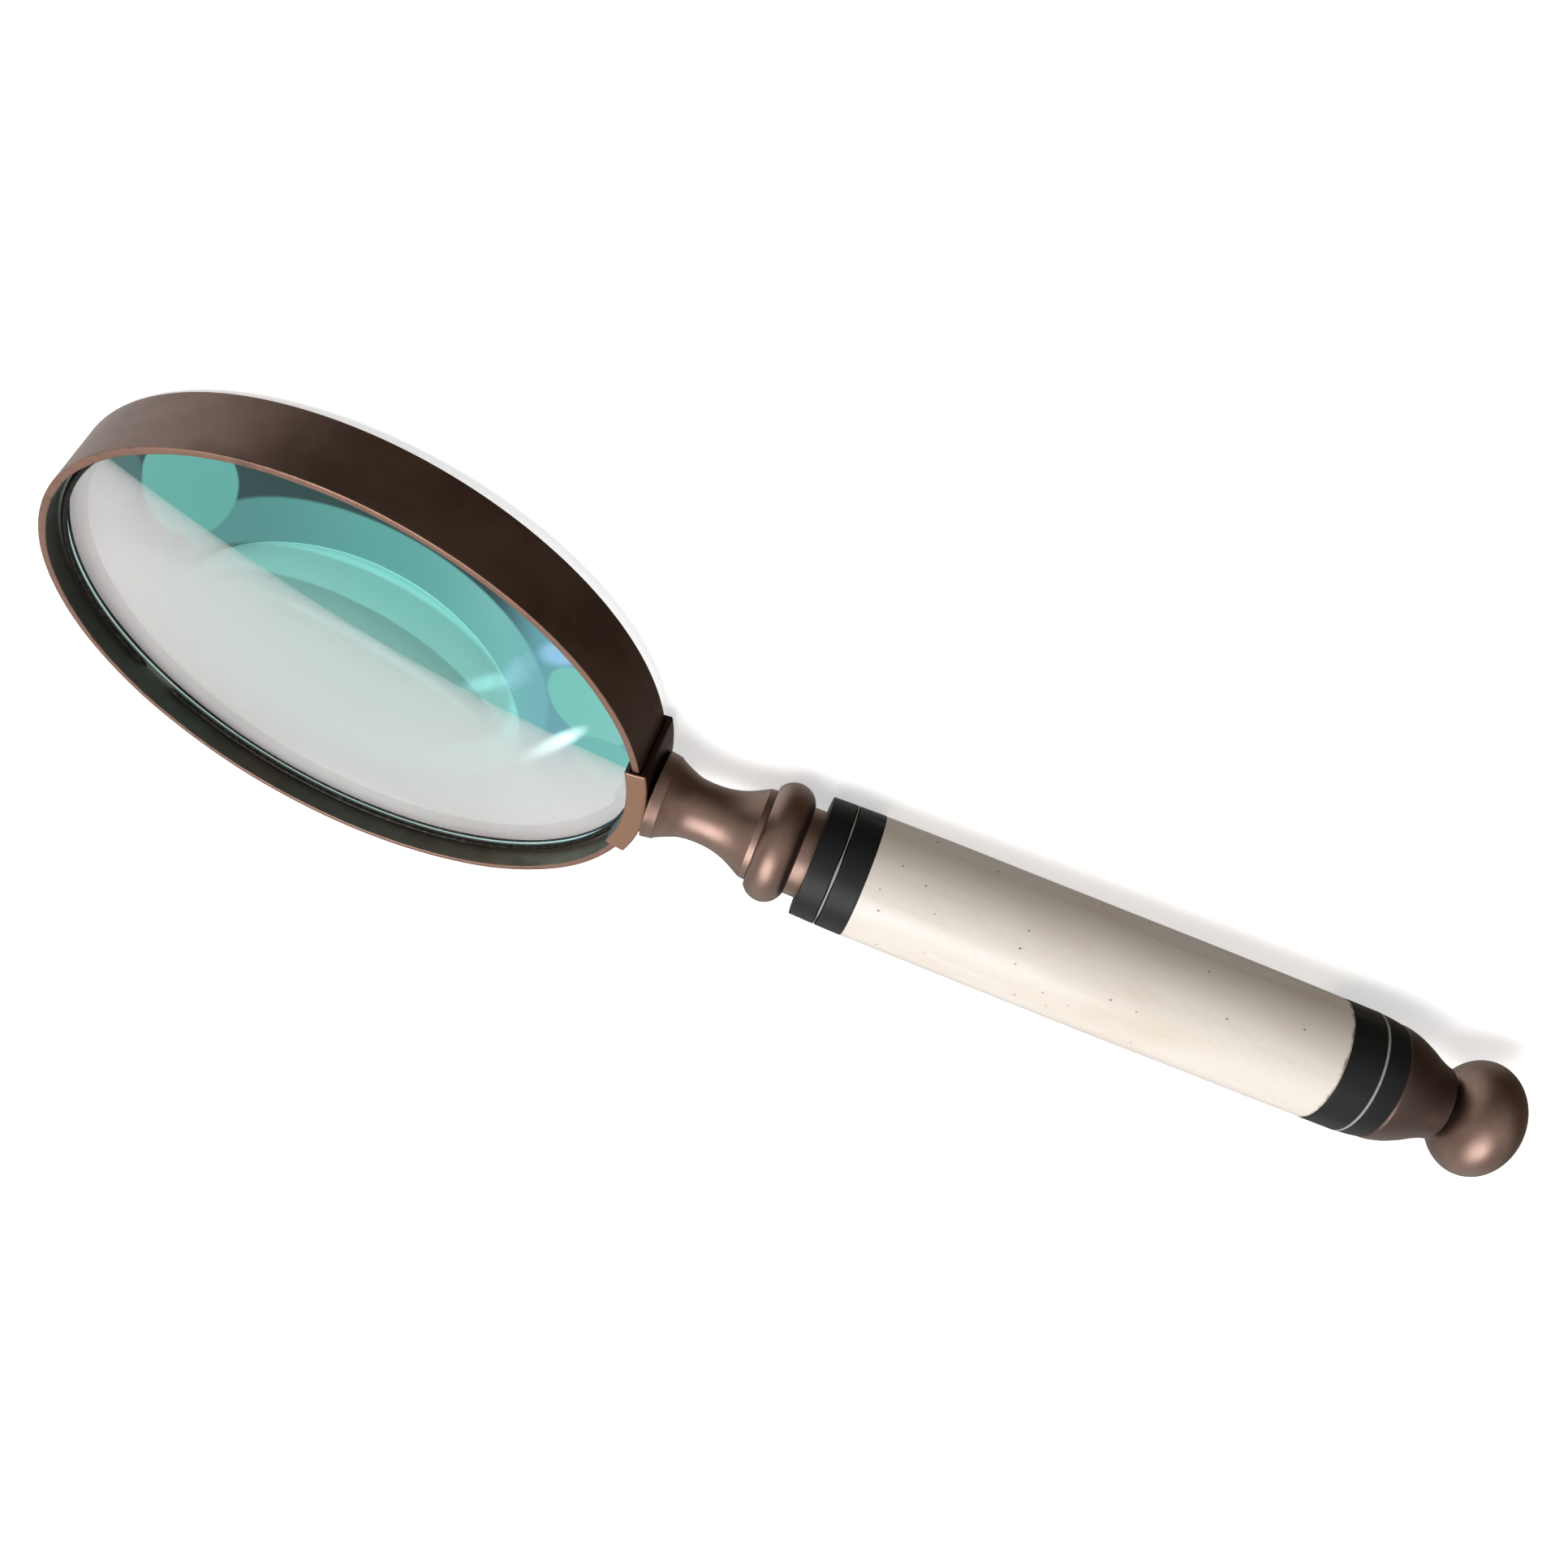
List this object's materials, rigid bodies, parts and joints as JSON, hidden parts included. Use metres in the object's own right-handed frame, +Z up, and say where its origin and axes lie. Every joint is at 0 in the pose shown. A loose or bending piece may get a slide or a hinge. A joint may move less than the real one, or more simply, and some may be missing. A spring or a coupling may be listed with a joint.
{
  "type": "magnifying glass",
  "caption": "Hand magnifying glass: round biconvex lens in a flat brass hoop, turned brass neck, bone handle with horn collars and a ball end.",
  "frame": {"origin": "centre of the bounding box's base: the table under the middle of the glass as it lies at rest", "axes": "+X from the ball towards the lens, along the table; +Z up, 1.3 degrees off the lens's axis, because the glass rests on the hoop's far edge and on the neck's bead"},
  "size_m": [0.254, 0.1016, 0.023],
  "materials": {
    "lens_glass": "polished clear glass with a faint blue-green cast, ground at the edge",
    "hoop_brass": "dark brown patina, satin, rubbed pink along its edges",
    "saddle_brass": "dark brown patina, its front face rubbed to pinkish brass",
    "neck_brass": "copper-brown patina, satin",
    "horn": "polished black buffalo horn",
    "spacer_fibre": "thin pale glued spacer",
    "bone": "polished cream bone with dark pores",
    "core_wood": "plain hardwood",
    "wire_steel": "darkened spring wire",
    "rod_steel": "plain steel"
  },
  "bodies": {
    "head": {"lens": "lens_glass", "ring_band": "hoop_brass", "front_retaining_ring": "wire_steel", "back_retaining_ring": "wire_steel", "saddle": "saddle_brass", "neck": "neck_brass"},
    "handle": {"front_horn_collar_outer": "horn", "front_spacer": "spacer_fibre", "front_horn_collar_inner": "horn", "bone_sleeve": "bone", "bone_core": "core_wood", "rear_horn_collar_inner": "horn", "rear_spacer": "spacer_fibre", "rear_horn_collar_outer": "horn", "end_cap": "neck_brass", "tie_rod": "rod_steel", "rod_washer": "rod_steel", "rod_nut": "rod_steel"},
    "finial": {"ball_finial": "neck_brass"}
  },
  "joints": [
    {"name": "handle_unscrew", "type": "hinge", "parent": "head", "child": "handle", "pos_m": [-0.00384, 0, 0.01038], "axis": [-0.9997, 0, 0.0235], "range_deg": [0, 360]},
    {"name": "finial_unscrew", "type": "hinge", "parent": "handle", "child": "finial", "pos_m": [-0.11321, 0, 0.01295], "axis": [-0.9997, 0, 0.0235], "range_deg": [0, 360]}
  ]
}
